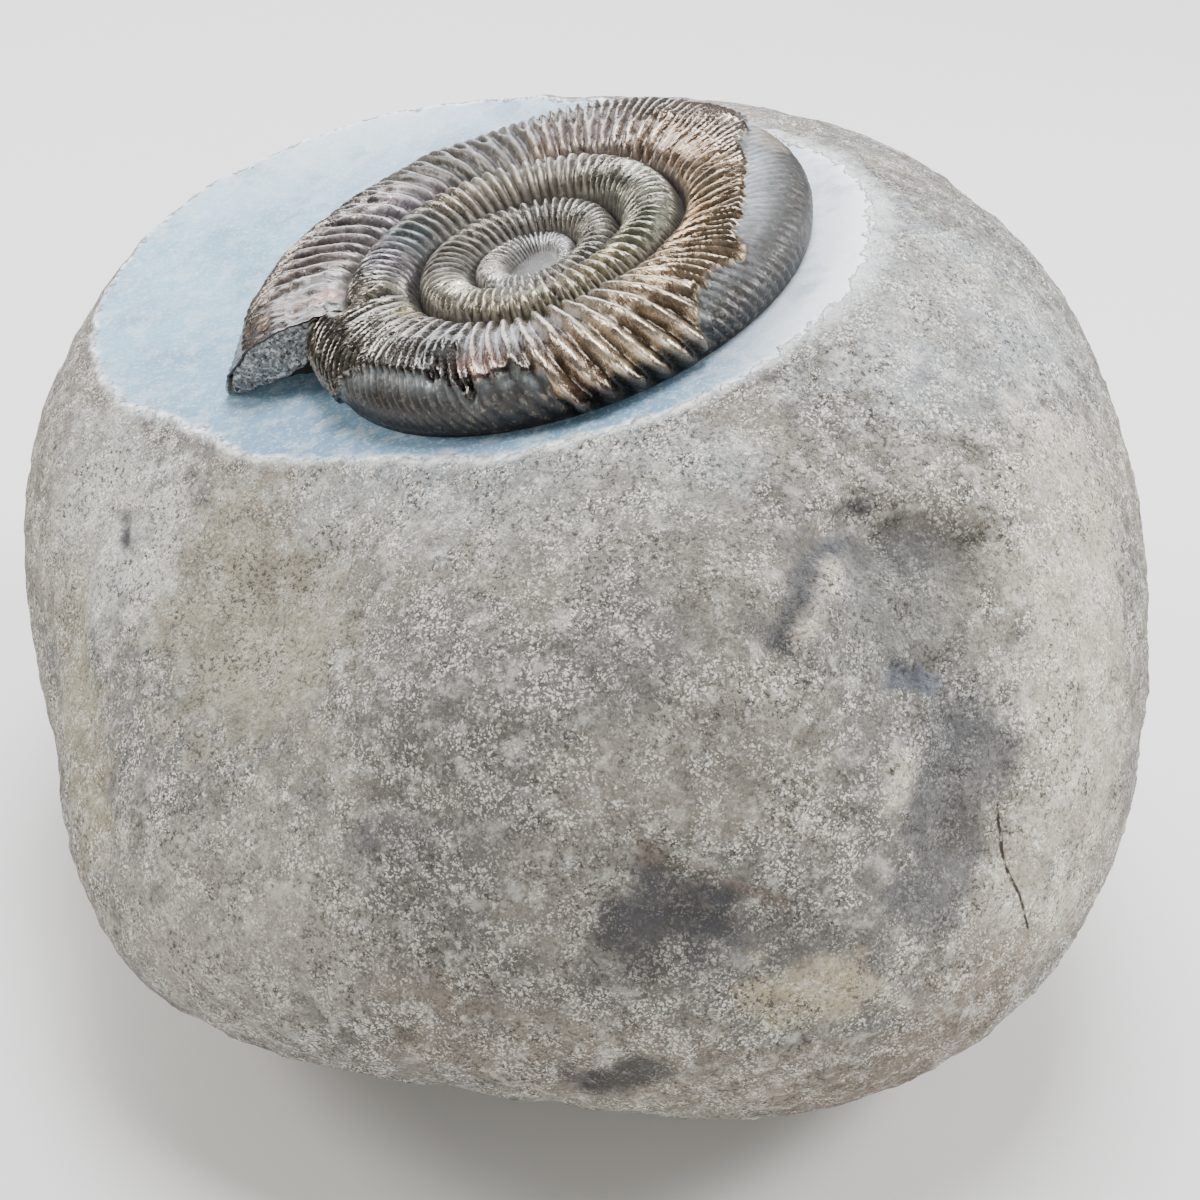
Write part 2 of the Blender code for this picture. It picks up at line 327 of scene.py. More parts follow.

# Stains on the crust, and painted shade in its dents: the line they follow, half-width in mm,
# colour, strength, share of flecks
crustStainsAndShade = {
    "broad hollow": ([(-30.5, -24.5, 47.6), (-25.5, -31.5, 45)], 9.5, "#9d9680", 0.8, 0.25),
    "left shoulder": ([(-46, -8, 48), (-41, -16, 47)], 8, "#c2c1ba", 0.8, 1),
    "left flank": ([(-47, -14, 38), (-42, -32, 28)], 4, "#ada383", 0.55, 0.6),
    "under the rim": ([(-20, -24, 56.5), (-4, -34, 60.5), (10, -36, 63.5)], 5, "#9aa0a3", 0.8, 1),
    "top right": ([(27, -13.6, 73.1), (28.3, -24.8, 68.9), (35.6, -14.3, 68.9)], 9, "#a3a9ab", 0.8,
        1),
    "right edge": ([(39, -30, 58), (41, -39.3, 45.1), (37.7, -43.5, 30)], 8.5, "#c3bba9", 0.85, 1),
    "low right": ([(33, -46.4, 22), (24, -49.4, 14.5)], 7.5, "#786b5b", 0.75, 0.7),
    "dull middle": ([(15.5, -42.3, 59.5), (9.5, -43.7, 58.1), (5.7, -46.4, 52.5)], 6, "#686662",
        0.7, 0.6),
    "brown foot": ([(-9.8, -53.4, 23.4), (14, -53.8, 18.4), (24, -50, 12)], 7, "#7a7063", 0.7,
        0.6),
    "low left": ([(-30, -42, 24), (-24, -46, 30)], 9, "#a5a093", 0.65, 0.5),
    "dull front": ([(-12, -49.5, 43), (-2, -52.8, 33)], 9, "#5d5b58", 0.65, 0.6),
    "basin": ([(23.5, -41.5, 57), (25.6, -42.8, 53.8)], 4.6, "#7f7f7a", 0.8, 0.2),
    # painted shadow: dark grey under the overhanging brow of the basin
    "brow": ([(22.6, -39, 59.4), (24.4, -38.4, 59.3), (29.4, -38, 57.7)], 2.2, "#4c4c4a", 0.85,
        0.15),
    # painted shade: dark grey in the groove beside the ridge
    "groove by the ridge": ([(21.8, -37.7, 61.3), (18.4, -41.5, 59.2), (15.6, -46.5, 54.8)], 1.6,
        "#4f5156", 0.95, 0.1),
    "pale ridge": ([(20, -41.5, 58.6), (17.2, -46.2, 54.8)], 1, "#b0a998", 0.9, 0.9),
    # painted shade in the crescent dent
    "crescent": ([(24.9, -44.9, 50.6), (27.6, -44, 49.6)], 1.1, "#525c6b", 0.9, 0.1),
    # painted shade in the right hollow
    "right hollow": ([(29.6, -45.6, 45.5), (32.2, -45.4, 43.5), (28.1, -48, 41.6),
        (29.9, -48.5, 37.2), (27.6, -50.6, 34)], 3.6, "#55565a", 0.9, 0.15),
    "pale lump": (crustMarks["pale lump"][0], 1.5, "#bfb8a8", 0.9, 1),
    "front hollow's foot": ([(2, -55, 31), (14, -54.9, 33), (22, -53, 31)], 2.6, "#625f5d", 0.8,
        0.35),
    # painted shade in the front hollow
    "front hollow": ([(4.6, -54.6, 34.2), (6.5, -54.1, 37.2), (9.8, -54.6, 35.6)], 3, "#424246", 1,
        0.15),
    # painted shade in the oval dent
    "oval": (crustMarks["oval"][0], 2.4, "#353335", 1, 0.15),
    "yellow patch": ([(15.9, -55, 27.7), (19.8, -54.3, 28.1)], 3.2, "#b1a587", 0.8, 0.5),
    "dark spots": ([(-15.8, -48.2, 38.4), (-12.6, -49.6, 39)], 1.6, "#5b5a5b", 0.8, 0.3),
    "dark inclusion": ([(-41, -12.6, 47.5), (-40.4, -15, 46)], 0.9, "#37383d", 0.95, 0.05),
    "brown line": (crustMarks["brown line"][0], 0.55, "#6f5d52", 0.55, 0.3),
}


def fromLine(place, line):
    # distance in mm from a place to a line of points
    if len(line) == 1:
        return (place - line[0]).length
    best = 1e9
    for start, end in zip(line, line[1:]):
        span = end - start
        share = clamp((place - start).dot(span) / span.length_squared)
        best = min(best, (place - start - span * share).length)
    return best


def asVectors(table):
    # the table's lines as vectors, each with its middle and reach, to skip far places quickly
    made = []
    for line, *rest in table.values():
        points = [Vector(point) for point in line]
        middle = sum(points, Vector()) / len(points)
        reach = max((point - middle).length for point in points)
        made.append((points, middle, reach, *rest))
    return made


marks = asVectors(crustMarks)
stainsAndShade = asVectors(crustStainsAndShade)


def crustRelief(place):
    size, rise = crust["lumps"]
    height = rise * wave(place, size, 3.1)
    size, rise = crust["bumps"]
    height += rise * (wave(place, size, 7.7) + 0.6 * wave(place, size / 2, 1.3))
    size, rise, level, sharpness = crust["scales"]
    height += rise * (level - sharpness * abs(wave(place, size, 5.2)))
    size, depth, width = crust["pits"]
    area, full = crust["pitted"]
    nearest = noise.voronoi(place / size)[0][0]
    height -= depth * ease(0, full, wave(place, area, 9.4)) * ease(width, 0, nearest)
    spot = place / mm
    for line, middle, reach, width, rise in marks:
        if (spot - middle).length < reach + 2.6 * width:
            height += rise * mm * bell(fromLine(spot, line), width)
    for x, y, z, width in crustPits:
        apart = (spot - Vector((x, y, z))).length
        if apart < 2.5 * width:
            height -= 1.1 * width * mm * bell(apart, width)
    return height


def crustTone(place):
    # colour of the crust, with its stains and the painted shade in its dents, and its share of pale
    # flecks
    tone = hexColour(crust["tone"])
    flecks = crust["flecks"]
    spot = place / mm
    fray = sum((strength * noise.noise(spot / size) for size, strength in crust["stainFray"]), 1.0)
    for line, middle, reach, width, colour, strength, share in stainsAndShade:
        if (spot - middle).length < reach + 2.0 * width:
            apart = fromLine(spot, line) * fray / width
            weight = strength * ease(*crust["stainEdge"], apart)
            tone = tone.lerp(hexColour(colour), weight)
            flecks = mix(flecks, share, weight)
    return tone, flecks


def faceTone(spot):
    # the prepared face is blue-grey, with painted shade in front of the shell and painted light
    # behind and right of it, near white on the right
    pale = clamp(0.25 + 0.75 * ease(-24, 22, spot.y) + 0.3 * ease(8, 30, spot.x))
    white = clamp(0.55 * ease(26, 50, spot.y) + 0.95 * ease(6, 27, spot.x))
    tone = hexColour(crust["faceFrontShaded"]).lerp(hexColour(crust["faceBackLit"]), pale)
    return tone.lerp(hexColour(crust["faceRightLit"]), white)


def powderShare(above, spot):
    # stone powder from the preparation lies outside the rim, most of it on the right
    right = ease(0, 34, spot.x) * ease(-45, -10, spot.y)
    return mix(*crust["powder"], right) * ease(mix(*crust["powderReach"], right), 0, -above)


def surfacePoint(way):
    # a place on the nodule, and how high the raw stone stood above the dish there
    middle = nodule["middle"]
    reach = naturalReach(way)
    place = middle + way * reach
    reach += crustRelief(place)
    dish = dishReach(way)
    above = reach - dish
    if dish < missed:
        spot = toShell(middle + way * dish)
        angle = math.atan2(spot.y, spot.x)
        right = 0.5 + 0.5 * math.cos(angle + 0.5)
        blend = mix(*crust["rimBlend"], right ** 2)
        share = clamp(0.5 + 0.5 * above / blend)
        reach = mix(reach, dish, share) - blend * share * (1 - share)
    place = middle + way * reach
    if place.z < 0:
        place = middle + way * (middle.z / -way.z)
    return place, above


def buildNodule(material):
    mesh = bmesh.new()
    steps = nodule["gridSteps"]
    bmesh.ops.create_cube(mesh, size=2)
    bmesh.ops.subdivide_edges(mesh, edges=mesh.edges, cuts=steps - 1, use_grid_fill=True)
    lean = nodule["finerTowards"].normalized() * nodule["finerBy"]
    ways = []
    heights = []
    for corner in mesh.verts:
        way = Vector([math.tan(part * math.pi / 4) for part in corner.co]).normalized()
        way = (way + lean).normalized()
        place, above = surfacePoint(way)
        corner.co = place
        ways.append(way)
        heights.append(above)
    mesh.verts.ensure_lookup_table()

    # the grid's corners nearest to the rim are drawn onto it, so that the rim is a clean line
    nearest = {}
    for edge in mesh.edges:
        first, second = edge.verts[0].index, edge.verts[1].index
        low, high = heights[first], heights[second]
        if low * high < 0 and max(abs(low), abs(high)) < nodule["rimNear"]:
            share = low / (low - high)
            own, other = (first, second) if share < 0.5 else (second, first)
            share = min(share, 1 - share)
            if own not in nearest or share < nearest[own][0]:
                nearest[own] = (share, other)
    for own, (share, other) in nearest.items():
        way = ways[own].lerp(ways[other], share).normalized()
        place, above = surfacePoint(way)
        mesh.verts[own].co = place
        heights[own] = 0.0
    bmesh.ops.connect_verts(mesh, verts=[mesh.verts[own] for own in nearest])
    bmesh.ops.recalc_face_normals(mesh, faces=mesh.faces)
    piece = addPiece("limestone", mesh, material, nodule["sharpDegrees"])
    tones = [crustTone(corner.co) for corner in piece.data.vertices]
    spots = [corner.co / mm for corner in piece.data.vertices]
    writeValues(piece, "powder", [powderShare(h / mm, spot) for h, spot in zip(heights, spots)])
    writeValues(piece, "aboveDish", [clamp(h / mm, -20, 20) for h in heights])
    writeValues(piece, "tone", [tone for tone, flecks in tones], "FLOAT_COLOR")
    writeValues(piece, "flecks", [flecks for tone, flecks in tones])
    writeValues(piece, "faceTone", [faceTone(spot) for spot in spots], "FLOAT_COLOR")
    return piece


limestoneColours = {
    "fleck": "#f6f2e8", "furrow": "#423e39", "cloud": "#a59c8a", "crack": "#3b322b",
    "faceStreak": "#5d7a92", "faceDust": "#e6ebed", "bruise": "#f6f6f2",
}
limestoneNoise = {
    "cloud": (15, 4, 0.55, 0.46, 0.6, 0, 0.5), "dull": (7, 6, 0.65, 0.48, 0.6, 0, 0.32),
    "grain": (0.45, 4, 0.8), "patchy": (5, 4, 0.55, 0.4, 0.6, 0.45, 1),
    "meal": (2, 5, 0.75, 0.5, 0.66, 0, 0.38), "clusters": (3, 6, 0.8, 0.43, 0.6, 0.1, 1),
    "breaks": (1.1, 3, 0.55, 0.36, 0.5), "streaks": (8, 5, 0.7, 0.44, 0.64, 0, 0.4),
    "dust": (2.2, 5, 0.7, 0.48, 0.64, 0, 0.24), "specks": (0.4, 3, 0.8, 0.53, 0.64, 0, 0.36),
    "wobble": (1.6, 4, 0.7, 0.3, 0.7, -0.45, 0.45), "powdered": (1.2, 4, 0.7, 0.36, 0.56, 0.35, 1),
    "bruisesAndHighlight": (1.4, 5, 0.75, 0.4, 0.6, 0.3, 1), "fine": (0.38, 3, 0.7), "coarse": (1.3, 3, 0.6),
    "faceFine": (0.6, 4, 0.7),
}
limestoneSteps = {
    "grainDarkAndShade": (0.51, 0.41),  # noise of the grain where its dark, partly painted shade in its pits, begins and is full
    "prepared": (-0.16, 0.16),  # mm above the dish over which the crust gives way to clean face
    "rim": (0, 0.55, 1, 0),  # mm from the rim over which its bruised line, partly a painted highlight, fades
}
# names of a colour and of the shares that say where it lies, from the first layer to the last
crustLayers = [
    # the furrow colour over the dull patches is stone tone; where the grain is low it is dark grain
    # and painted shade in its pits
    ("cloud", "cloud", "flecks"), ("furrow", "dull"), ("furrow", "grainDarkAndShade", "patchy"),
    ("fleck", "meal", "flecks"), ("fleck", "dots", "flecks"),
    ("crack", "crack", "breaks", "crackSide"), ("faceDust", "powder", "powdered"),
    # the pale line along the rim: white bruised stone, and a painted highlight on its edge
    ("face", "prepared"), ("bruise", "rim", "bruisesAndHighlight"),
]
faceLayers = [("faceStreak", "streaks"), ("faceDust", "dust"), ("faceDust", "specks")]
crustBump = {"grain": 0.42, "fine": 0.2, "coarse": 0.45, "crack": -0.3, "dots": 0.06}  # mm
faceBump = {"faceFine": 0.06}

# the real flecks are finer than this, too fine to show: sizes in mm
fleckGrains = {
    "cells": [(0.46, 0.2), (0.25, 0.26)],  # and how far from a cell's middle its fleck is full
    "edge": 0.44,
    "ragged": (0.5, 0.7),  # size and strength of what makes them ragged
}
crack = {
    "points": [(33.2, -46.1, 39.8), (33.5, -46.5, 37.7), (34.1, -46.8, 35.0), (34.7, -46.9, 33.1),
               (35.8, -46.5, 30.3), (36.8, -45.9, 27.3)],
    "outward": (34.5, -46.5, -3.0),  # out of the stone there, so that relief doesn't hide it
    "width": (0.06, 0.17),  # mm from its middle where it is full and where it ends
    "side": (10, 20),  # mm outward: the stone's other side has no crack
}


def fleckDots(add, place, clusters):
    # ragged grains of two sizes, gathered in clusters
    size, strength = fleckGrains["ragged"]
    shake = add("TexNoise", {"Vector": place, "Scale": 1 / (size * mm)}, "Color")
    shake = add("VectorMath", [shake, (strength * mm,) * 3], operation="MULTIPLY")
    bent = add("VectorMath", [place, shake], operation="ADD")
    dots = 0.0
    for size, full in fleckGrains["cells"]:
        cell = add("TexVoronoi", {"Vector": bent, "Scale": 1 / (size * mm)}, "Distance")
        dot = add("MapRange", [cell, fleckGrains["edge"], full], **soft)
        dot = add("Math", [dot, clusters], operation="MULTIPLY")
        dots = add("Math", [dots, dot], operation="MAXIMUM")
    return dots


def crackShares(add, place):
    # 1 on the crack and 0 beside it, and 1 on its side of the stone
    outward = Vector(crack["outward"]).normalized()
    points = [Vector(point) * mm for point in crack["points"]]
    points = [point - outward * point.dot(outward) for point in points]
    full, end = [width * mm for width in crack["width"]]
    aside = add("VectorMath", [place, outward], operation="PROJECT")
    flat = add("VectorMath", [place, aside], operation="SUBTRACT")
    line = 0.0
    for first, last in zip(points, points[1:]):
        span = last - first
        offset = add("VectorMath", [flat, first], operation="SUBTRACT")
        share = add("Clamp", [add("VectorMath", [offset, span / span.length_squared], "Value",
                                  operation="DOT_PRODUCT")])
        onLine = add("VectorMath", {0: span, "Scale": share}, operation="SCALE")
        gap = add("VectorMath", [offset, onLine], "Value", operation="DISTANCE")
        near = add("MapRange", [gap, full, end, 1.0, 0.0], **soft)
        line = add("Math", [line, near], operation="MAXIMUM")
    side = add("VectorMath", [place, outward], "Value", operation="DOT_PRODUCT")
    low, high = [limit * mm for limit in crack["side"]]
    return line, add("MapRange", [side, low, high], **soft)


def limestoneMaterial():
    # weathered argillaceous limestone: a dull, mealy crust with pale flecks, painted shade in its
    # grain's pits and dents, and a smooth blue-grey face where it was blown clean with fine powder,
    # painted lighter behind and right of the shell and with a rim line that is partly a painted
    # highlight
    material, add, shader, above, tone, flecks, powder, faceTone = startMaterial(
        "weathered limestone", aboveDish="Fac", tone="Color", flecks="Fac", powder="Fac",
        faceTone="Color")
    place = add("TexCoord", output="Object")
    share = mottle(add, place, limestoneNoise)
    share.update(flecks=flecks, powder=powder, dots=fleckDots(add, place, share["clusters"]))
    share["crack"], share["crackSide"] = crackShares(add, place)
    share["grainDarkAndShade"] = share["grain"]
    share["prepared"] = add("Math", [share["wobble"], above], operation="ADD")
    share["rim"] = add("Math", [above], operation="ABSOLUTE")
    for name, levels in limestoneSteps.items():
        share[name] = add("MapRange", [share[name], *levels], **soft)
    face = paint(add, faceTone, limestoneColours, share, faceLayers)
    colour = paint(add, tone, {**limestoneColours, "face": face}, share, crustLayers)
    height = add("Mix", {0: share["prepared"], 2: raised(add, share, crustBump),
                         3: raised(add, share, faceBump)})
    bump = add("Bump", {"Height": height, "Strength": 1.0, "Distance": 1.0})
    setInputs(shader, {"Base Color": colour, "Roughness": 0.85, "Specular IOR Level": 0.35,
                       "Normal": bump})
    return material


limestone = buildNodule(limestoneMaterial())
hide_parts("limestone_nodule")
print("limestone nodule built")


coil = {
    "seamAtMouth": 0.01765, "growth": 0.0586, "growthChange": 0.0023,
    "seamRise": 0.1565, "mouthLift": 0.0005, "mouthLiftFade": 0.3,
    "lastWidth": 0.245, "oval": 0.032, "ovalAxis": math.radians(20.7),
    "turns": 4, "crest": 0.0037, "innerSwell": 0.30, "foot": math.radians(-40),
    "bedDepth": 0.0050, "bedAcross": 2.6, "lastFullness": 0.6, "innerFullness": 0.7,
    "taperTurns": 0.5, "bossTurns": 1.5,
    "lipSlant": 0.15, "lipSlantReach": 0.35, "lipFlare": 0.0035, "lipFlareFade": 0.12,
    "coverFade": 0.14, "coverReach": 0.25,
    "groove": 0.080, "grooveReach": 0.048,  # at the seams, as shares of their radius
    "patch": (0.0018, 0.0024),  # the smooth middle, and where the ribs begin
    "patchHeight": 0.00045,
    "lip": 0.0002, "recess": 0.0030, "recessNarrowing": 0.88, "recessMark": 9.0,
    "closeness": 0.6, "sharpDegrees": 60,
}
ribs = {
    "perTurn": 72, "rowsPerRib": 14, "acrossSteps": 16, "flankSteps": 22,
    "height": 0.00082, "innerWidth": 0.0060, "lean": 0.085, "innerFading": 0.5, "endWidth": 0.0007,
    "fewerFrom": 2 * turn, "fewerBy": 0.68,  # the inner whorls have fewer ribs
    "leanMore": 0.25, "unevenGaps": 0.45, "unevenForks": 0.12, "unevenHeight": 0.45,
    "forkWidth": 0.25, "forkLength": 0.35, "widths": (0.36, 0.19),  # before and after the fork
}
peeled = {"from": 130, "to": 352, "depth": 0.0003, "edge": (-0.015, 0.03)}
rowsPerTurn = ribs["perTurn"] * ribs["rowsPerRib"]

# back from the mouth in degrees, and where across the whorl a rib forks:
# 0 is the inner seam, 1 the crest, 2 the widest point and 2.44 the foot
forkStops = [
    (0, 0.9), (100, 0.75), (120, 0.45), (240, 0.45), (250, 3), (285, 3), (300, 0.6), (350, 0.3),
    (395, 0.4), (420, 0.75), (480, 0.65), (520, 0.6), (640, 0.6), (690, 1.3), (1440, 1.3),
]
strengthStops = [
    (0, 0.15), (14, 0.25), (26, 0.8), (40, 1), (244, 1), (252, 1.5), (272, 1.5), (285, 0.8),
    (300, 0.9), (1440, 1),
]
# how much gloss the shell layer has kept
glossStops = [
    (0, 0.9), (30, 0.8), (58, 0.9), (72, 0.35), (92, 0.35), (108, 0.8), (140, 1), (385, 1),
    (396, 0.6), (410, 0.6), (425, 1), (440, 0.6), (470, 0.7), (500, 1), (705, 1), (722, 0.4),
    (750, 0.5), (790, 1),
]
# how much of the ribs the mould shows, and where across the whorl the shell layer is missing
mouldRibStops = [
    (138, 0.14), (205, 0.14), (228, 0.34), (245, 0.55), (285, 0.45), (345, 0.5),
]
edgeStops = [
    (138, 2.7), (150, 2), (162, 1.42), (182, 1.02), (200, 0.92), (211, 1), (222, 1.11),
    (230, 1.45), (236, 1.3), (242, 1.39), (246, 1.6), (250, 2.8), (276, 2.8), (278, 1.53),
    (281, 1.52), (284, 1.37), (287, 1.46), (292, 1.5), (294, 1.74), (298, 1.53), (302, 1.44),
    (308, 1.36), (320, 1.35), (330, 1.5), (338, 2), (345, 2.8),
]

# raised and worn patches, chips and flakes: degrees back, across, half-widths, height in mm
shellPatches = {
    "thick crust": (124, 0.9, 20, 1.1, 0.26),
    "worn before the crust": (92, 0.9, 10, 0.9, -0.16),
    "hump": (141, 0.5, 5, 0.5, 0.15),
    "golden flake": (280, 1.85, 2.6, 0.16, 0.24),
    "chip": (304, 1.42, 1.7, 0.1, -0.75),
    "chip beside it": (296, 1.56, 2.2, 0.06, -0.45),
    "gap by the flake": (287, 1.55, 2, 0.07, -0.45),
    "scab": (268, 1.9, 1.6, 0.18, 0.22),
    "scab by the foot": (273, 2.1, 1.8, 0.12, 0.25),
    "black spot": (237, 1.74, 1.6, 0.1, -0.35),
    "black spot beside it": (243, 1.8, 1.3, 0.1, -0.4),
    "worn lip": (9, 0.55, 6, 0.4, -0.15),
}
spotEdge = (1.25, 0.75)  # half-widths where a patch or a spot begins and is full
spotFray = 0.35
# height in mm, lumps to a degree and across the whorl, seed
shellUneven = [(0.1, 0.22, 2.6, 5), (0.09, 0.75, 6, 1)]
mouthWrinkles = 0.45  # mm

# degrees back, colour on the inner side, colour on the outer side, which stays the last one
shellTints = [
    (0, "#7d6558", "#54423a"), (9, "#9d8777", "#64503f"), (18, "#a89a8e", "#6a5a50"),
    (30, "#8d7f78", "#5c4c48"), (45, "#a3999c", "#5c5052"), (60, "#7c747c", "#51474a"),
    (76, "#2b2826", "#2f2c2b"), (90, "#312d28", "#39362d"), (98, "#544d43", "#504c3f"),
    (106, "#a08a78", "#8b7466"), (128, "#a8958a", "#9a8a7c"), (150, "#967a60", "#9a8878"),
    (185, "#b89a78", "#958c80"), (214, "#b08f62", "#a0907a"), (232, "#a58a66", "#bba082"),
    (246, "#b09a7e", "#c4ab8c"), (262, "#b5a28a", "#cdb698"), (274, "#aa9884", "#a88e74"),
    (286, "#8f8478", "#4b4642"), (303, "#4c4a43", "#3b3c3d"), (318, "#7a766e", "#454039"),
    (335, "#7a756a", "#453f36"), (360, "#7a7568"), (382, "#8a8690"), (402, "#55666a"),
    (432, "#b0a594"), (480, "#aca290"), (520, "#a0a292"), (570, "#cacab6"), (602, "#ccc09e"),
    (640, "#cabd9f"), (700, "#bfb9a6"), (735, "#443f37"), (790, "#958f84"), (900, "#a09c90"),
    (1100, "#dddad0"), (1180, "#ffffff"),
]
innerTints = [(back, hexColour(inner)) for back, inner, *outer in shellTints]
outerTints = [(back, hexColour(*outer)) for back, inner, *outer in shellTints if outer]
# spots of their own colour, and a painted violet sheen: degrees back, across, half-widths, colour,
# strength
shellSpots = {
    "golden flake": (280, 1.88, 3.4, 0.22, "#e0b868", 1),
    "chip": (304, 1.42, 1.9, 0.11, "#0b0807", 1),
    "chip beside it": (296, 1.56, 2.4, 0.07, "#120d0b", 1),
    "gap by the flake": (287, 1.55, 2.2, 0.08, "#0f0b09", 1),
    "scabs": (270, 2, 4, 0.24, "#6b4630", 0.7),
    "black spots": (240, 1.76, 5, 0.2, "#0f0d0c", 1),
    "pale foot tip": (1.5, 2.4, 5, 0.3, "#e6dcc6", 1),
    "silver streaks": (22, 0.45, 6, 0.35, "#a3a09f", 0.7),
    "pink patch": (12, 0.25, 5, 0.22, "#b0826c", 0.8),
    "orange corner": (214, 0.22, 10, 0.28, "#96683a", 0.6),
    "tan on the mould": (176, 1.5, 8, 0.22, "#857a68", 0.7),
    "gold inside": (602, 0.25, 10, 0.3, "#8a7848", 0.4),
    "green inside": (575, 0.6, 14, 0.4, "#5c6448", 0.6),
    # painted reflection: the violet sheen of bluish light on these ribs
    "violet sheen": (63, 0.45, 12, 0.35, "#8d8591", 0.55),
    "gold by the seam": (338, 0.2, 8, 0.25, "#7d6a3c", 0.5),
    "rosy flakes": (292, 1.2, 6, 0.25, "#8d7064", 0.7),
}
shellColours = {
    "paintedShade": "#17100c", "mould": "#303231", "mouldRib": "#949fa4", "mouldFar": "#141312",
    "broken": "#1a120e", "crestWearAndHighlight": "#c0b6a8",
}
shellInk = {name: hexColour(text) for name, text in shellColours.items()}
# wear and tint of the shell, and the strengths of its painted shade and light
shellWearAndShading = {
    "depth": 0.56, "drift": 0.45,  # of the tints, and how far they wander
    "furrow": 0.13, "rib": 1.3,  # painted shade in a furrow, and the painted light that a rib adds
    "crestWearAndHighlight": 0.26,
    "mouldGloss": (0.15, 0.4),  # left and right
    "broken": (0.405, 0.9), "brokenFrom": 250,  # the broken edge, darker from there on
    # painted shade: its share at the seams early and late, how far it reaches, and at the foot
    "paintedShade": (0.95, 0.7), "paintedShadeReach": 0.13, "paintedFootShade": 0.55,
}


def seamRadius(back):
    return coil["seamAtMouth"] * math.exp(-coil["growth"] * back - coil["growthChange"] * back**2)


def seamHeight(back, radius):
    return coil["seamRise"] * radius + coil["mouthLift"] * math.exp(-back / coil["mouthLiftFade"])


def seamDip(seamBack, seam, apart):
    # the whorls part in a groove beside each seam, shallower at the mouth
    depth = coil["groove"] * seam * mix(0.1, 1, ease(0, 0.5, seamBack))
    return depth * math.exp(-apart / (coil["grooveReach"] * seam))


def coilPoint(back, radius, height):
    angle = math.pi - back
    radius *= 1 - coil["oval"] * math.cos(2 * (angle - coil["ovalAxis"]))
    return Vector((radius * math.cos(angle), radius * math.sin(angle), height))


def ridge(offset, width):
    return math.exp(-abs(offset / width) ** 2.2)


def ribRelief(back, across):
    # from about -0.5 in a furrow to 0.5 on a rib
    r = ribs
    degrees = math.degrees(back)
    strength = along(strengthStops, degrees)
    lean = r["lean"] * (across + r["leanMore"] * max(0, across - 1) ** 2)
    slowed = min(back, r["fewerFrom"]) + r["fewerBy"] * max(0, back - r["fewerFrom"])
    phase = (slowed + lean) * r["perTurn"] / turn
    phase += r["unevenGaps"] * drift(phase * 0.21, 0.3, 0.0)
    index = round(phase)
    fork = along(forkStops, degrees) + r["unevenForks"] * drift(index * 0.73, 4.0, 0.0)
    forked = ease(fork, fork + r["forkLength"], across)
    split = r["forkWidth"] * forked
    width = mix(*r["widths"], forked) + 0.12 * max(0, strength - 1)
    best = max(
        ridge(phase - index + shift + side, width)
        for shift in (-1, 0, 1) for side in {-split, split}
    )
    uneven = 1 + r["unevenHeight"] * drift(index * 0.61, 9.0, across * 0.9)
    return (best - 0.5) * uneven * strength


def peelAt(back, across):
    # 0 where the shell layer is kept, 1 where it is gone
    degrees = math.degrees(back)
    if not peeled["from"] <= degrees <= peeled["to"]:
        return 0.0
    edge = along(edgeStops, degrees) + 0.05 * drift(degrees * 0.5, 2.0, 0.0)
    if degrees < 246:
        edge += 0.035 * math.cos(2 * (back + ribs["lean"]) * ribs["perTurn"])
    low, high = peeled["edge"]
    return ease(edge + low, edge + high, across)


def spotWeight(degrees, across, spot):
    middle, middleAcross, reach, reachAcross = spot[:4]
    far = math.hypot((degrees - middle) / reach, (across - middleAcross) / reachAcross)
    if far > spotEdge[0] + spotFray:
        return 0.0
    return ease(*spotEdge, far + spotFray * drift(degrees * 0.55, across * 8, middle))


def patchRelief(back, across):
    degrees = math.degrees(back)
    total = 0.0
    for patch in shellPatches.values():
        total += patch[4] * mm * spotWeight(degrees, across, patch)
    # the surface is a little uneven and scabby everywhere
    for height, perDegree, perWidth, seed in shellUneven:
        total += height * mm * drift(degrees * perDegree, across * perWidth, seed)
    if degrees < 32:
        folds = abs(drift(degrees * 0.06, across * 7, 3)) - 0.2
        total += mouthWrinkles * mm * folds * ease(32, 18, degrees)
    return total


def shellRelief(back, across):
    # ribs and patches, lower on the mould, where the layer's thickness is missing
    peel = peelAt(back, across)
    strength = mix(1, along(mouldRibStops, math.degrees(back)), peel)
    relief = ribs["height"] * ribRelief(back, across) * strength
    return relief + patchRelief(back, across) * mix(1, 0.4, peel) - peeled["depth"] * peel


def coveredShare(back):
    # 0 on the outermost whorl, 1 where the next whorl lies over the crest
    return ease(turn - coil["coverFade"], turn, back)


